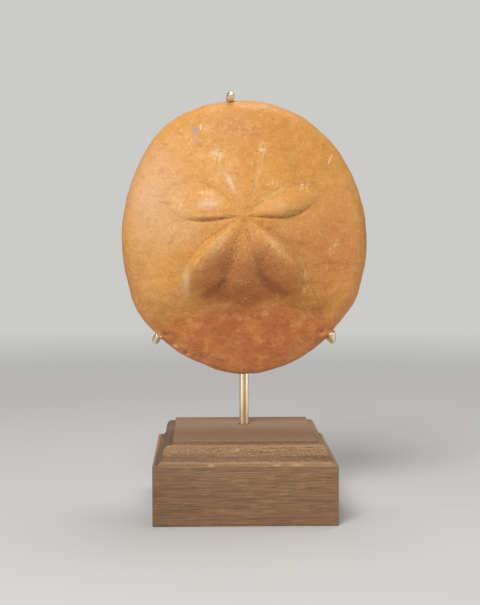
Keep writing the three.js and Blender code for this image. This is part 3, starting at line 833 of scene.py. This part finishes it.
pore_zone = ochre.between(edge, 0.4, 1.3, 1.0, 0.0)
pore_zone = ochre.math("MULTIPLY", pore_zone, ochre.between(chips, 0.40, 0.56))
pore_marks = ochre.math("MULTIPLY", pore_zone, ochre.between(ladder, 0.0, 0.9))
stone_colour = ochre.blend(ochre.math("MULTIPLY", pore_marks, 0.22), stone_colour, pore_dirt)
beside_lobe = on_dome(-28.8, -20, 3.4, 12, 4)
rungs = ochre.math("MULTIPLY", beside_lobe, ochre.between(ladder, 0.1, 0.8))
stone_colour = ochre.blend(ochre.math("MULTIPLY", beside_lobe, 0.45), stone_colour, pale_band)
stone_colour = ochre.blend(ochre.math("MULTIPLY", rungs, 0.85), stone_colour, pale_rung)
past_edge = ochre.between(gap, 0.2, 0.9)
beside_petal = ochre.math("MULTIPLY", past_edge, ochre.between(gap, 3.0, 5.0, 1.0, 0.0))
rows = ochre.math("SINE", ochre.math("MULTIPLY", gap, 2 * math.pi / row_step))
pore_rows = ochre.math("MULTIPLY", beside_petal, ochre.between(rows, 0.1, 0.9))
pore_rows = ochre.math("MULTIPLY", pore_rows, ochre.between(chips, 0.44, 0.56))
stone_colour = ochre.blend(ochre.math("MULTIPLY", pore_rows, 0.45), stone_colour, row_dirt)
pin_holes = ochre.nodes.new("ShaderNodeTexVoronoi")
pin_holes.inputs["Scale"].default_value = pin_hole_scale
ochre.links.new(ochre.place, pin_holes.inputs["Vector"])
holes = ochre.between(pin_holes.outputs["Distance"], 0.10, 0.22, 1.0, 0.0)
holes = ochre.math("MULTIPLY", holes, stippled)
stone_colour = ochre.blend(ochre.math("MULTIPLY", holes, 2.4), stone_colour, hole_dirt)
ochre.give("Base Color", stone_colour)
ochre.give("Roughness", ochre.between(mottle, 0.3, 0.7, 0.58, 0.44))
ochre.shader.inputs["Specular IOR Level"].default_value = 0.28
fine_relief = ochre.bump(ochre.math("MULTIPLY", tubercle_height, stippled), 0.30 * MM)
fine_relief = ochre.bump(grain, 0.14 * MM, fine_relief)
fine_relief = ochre.bump(pore_marks, -0.10 * MM, fine_relief)
ochre.give("Normal", fine_relief)
ochre.on(fossil)
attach(fossil, "root")
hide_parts("fossil_urchin")

# Floor, light and camera
# A pale level floor that fades out, a large soft lamp high in front on the left, a narrow one low on each
# side and a large one high behind. The camera is a little above the fossil's middle, looking down.
bpy.ops.object.select_all(action="DESELECT")
bpy.ops.mesh.primitive_plane_add(size=4, location=(0, 0, 0))
floor = start_piece("floor")
floor_dark = (0.50, 0.49, 0.475, 1)
floor_pale = (0.52, 0.51, 0.495, 1)
room_grey = (0.80, 0.80, 0.80, 1)
room_light = 0.22
backdrop_grey = (0.60, 0.595, 0.58, 1)
paper = Finish("pale_floor")
paper.give("Base Color", paper.blend(paper.cloud(paper.place, 3), floor_dark, floor_pale))
paper.give("Roughness", 0.9)
paper.give("Alpha", paper.spot((0, 0, 0), (1.0, 1.0, 1.0), 0, 0.75))
paper.on(floor)

scene = bpy.context.scene
scene.view_settings.view_transform = "Standard"
scene.world = bpy.data.worlds.new("soft_room")
scene.world.use_nodes = True
room = scene.world.node_tree.nodes
room_links = scene.world.node_tree.links
room["Background"].inputs["Color"].default_value = room_grey
room["Background"].inputs["Strength"].default_value = room_light
backdrop = room.new("ShaderNodeBackground")
backdrop.inputs["Color"].default_value = backdrop_grey
seen = room.new("ShaderNodeLightPath")
room_mix = room.new("ShaderNodeMixShader")
room_links.new(seen.outputs["Is Camera Ray"], room_mix.inputs["Fac"])
room_links.new(room["Background"].outputs["Background"], room_mix.inputs[1])
room_links.new(backdrop.outputs["Background"], room_mix.inputs[2])
room_links.new(room_mix.outputs["Shader"], room["World Output"].inputs["Surface"])


def soft_lamp(name, place, width, height, power, aim):
    """Hangs a flat lamp at its place and turns it to its aim."""
    lamp = bpy.data.lights.new(name, "AREA")
    lamp.shape = "RECTANGLE"
    lamp.size = width
    lamp.size_y = height
    lamp.energy = power
    holder = bpy.data.objects.new(name, lamp)
    scene.collection.objects.link(holder)
    holder.location = place
    holder.rotation_euler = (Vector(aim) - Vector(place)).to_track_quat("-Z", "Y").to_euler()


middle = (0, 0, 0.12)
soft_lamp("key_lamp", (-0.26, -0.72, 0.88), width=0.5, height=0.5, power=10.9, aim=middle)
soft_lamp("left_strip", (-0.86, -0.56, 0.12), width=0.05, height=0.24, power=3.0, aim=middle)
soft_lamp("right_strip", (0.98, -0.30, 0.12), width=0.05, height=0.24, power=3.0, aim=middle)
soft_lamp("top_lamp", (0.10, 0.25, 0.90), width=0.5, height=0.5, power=4, aim=middle)

camera_down = 4.17
camera_right = 1.64
camera = bpy.data.objects.new("camera", bpy.data.cameras.new("camera"))
scene.collection.objects.link(camera)
camera.location = (-0.0194, -0.6266, 0.1486)
camera.rotation_euler = (math.radians(90 - camera_down), 0, math.radians(-camera_right))
camera.data.lens = 74.6
camera.data.sensor_width = 36
scene.camera = camera
